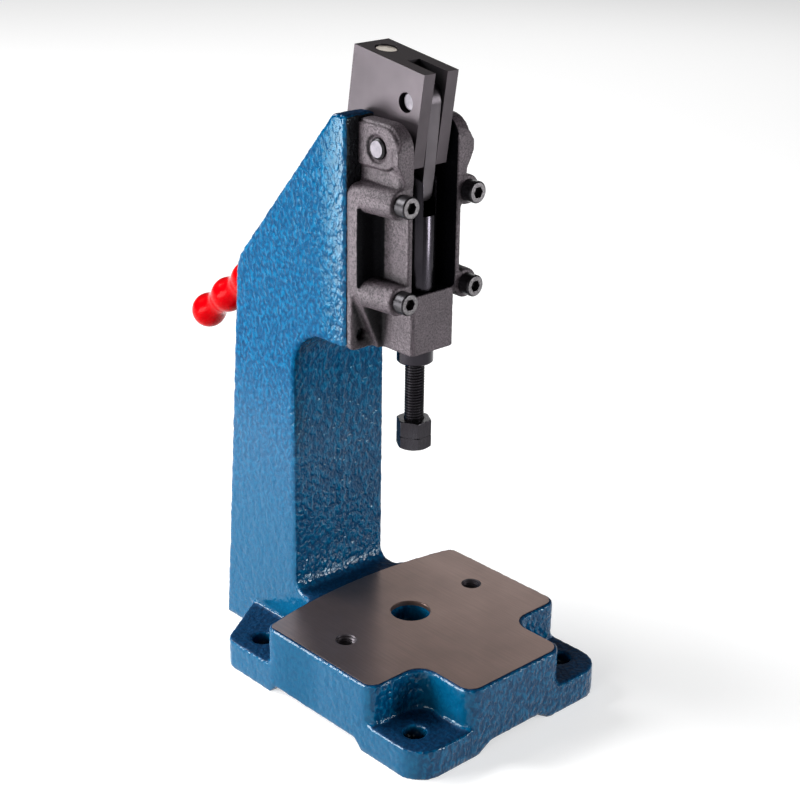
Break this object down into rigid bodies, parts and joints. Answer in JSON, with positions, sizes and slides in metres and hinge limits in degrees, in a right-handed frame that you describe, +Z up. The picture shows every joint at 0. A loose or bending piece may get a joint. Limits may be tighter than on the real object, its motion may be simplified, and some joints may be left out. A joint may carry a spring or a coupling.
{
  "type": "toggle press",
  "caption": "Bench toggle press: enamelled cast stand with a machined table, a bolted head and a hand lever that drives a round ram with an adjusting bolt.",
  "frame": {"origin": "on the floor plane under the feet, below the middle of the whole outline", "axes": "+Z up, -Y the front where the work is put in, +X to the right as seen from the front"},
  "size_m": [0.1596, 0.3088, 0.3976],
  "materials": {
    "blue_enamel": "glossy textured enamel over cast iron, with a milled table",
    "black_iron": "rough blackened casting",
    "black_steel": "satin blackened steel",
    "black_screws": "black oxide",
    "bright_steel": "bare bright steel",
    "red_plastic": "smooth and glossy"
  },
  "bodies": {
    "stand": {"stand_table": "blue_enamel", "foot_front_left": "blue_enamel", "foot_front_right": "blue_enamel", "foot_back_left": "blue_enamel", "foot_back_right": "blue_enamel", "stand_column": "blue_enamel", "head_casting": "black_iron", "head_screw_1": "black_screws", "head_screw_2": "black_screws", "head_screw_3": "black_screws", "head_screw_4": "black_screws", "pivot_pin_left": "black_steel", "pivot_pin_right": "black_steel"},
    "lever": {"lever_block": "black_steel", "rod_set_screw": "black_screws", "link_pin": "black_steel", "handle_rod": "bright_steel", "handle_grip": "red_plastic"},
    "link": {"link": "black_steel"},
    "ram": {"ram": "black_steel", "ram_pin_left": "black_steel", "ram_pin_right": "black_steel"},
    "lock_nut": {"lock_nut": "black_screws"},
    "adjusting_bolt": {"adjusting_bolt": "black_screws"}
  },
  "joints": [
    {"name": "lever_swing", "type": "hinge", "parent": "stand", "child": "lever", "pos_m": [0, -0.05649, 0.3464], "axis": [1, 0, 0], "range_deg": [0, 161]},
    {"name": "link_pivot", "type": "hinge", "parent": "lever", "child": "link", "pos_m": [0, -0.06357, 0.37152], "axis": [1, 0, 0], "range_deg": [-168, 0]},
    {"name": "ram_slide", "type": "slide", "parent": "stand", "child": "ram", "axis": [0, 0, -1], "range_m": [0, 0.0513]},
    {"name": "lock_nut_slide", "type": "slide", "parent": "ram", "child": "lock_nut", "axis": [0, 0, 1], "range_m": [-0.00875, 0.035]},
    {"name": "bolt_turn", "type": "hinge", "parent": "lock_nut", "child": "adjusting_bolt", "pos_m": [0, -0.06079, 0.17], "axis": [0, 0, 1], "range_deg": [-1810, 7230]}
  ],
  "couplings": [
    {"joint": "link_pivot", "follows": "lever_swing", "ratio": -1.0389},
    {"joint": "ram_slide", "follows": "lever_swing", "m_per_rad": 0.018217},
    {"joint": "bolt_turn", "follows": "lock_nut_slide", "rad_per_m": 3590.4}
  ]
}
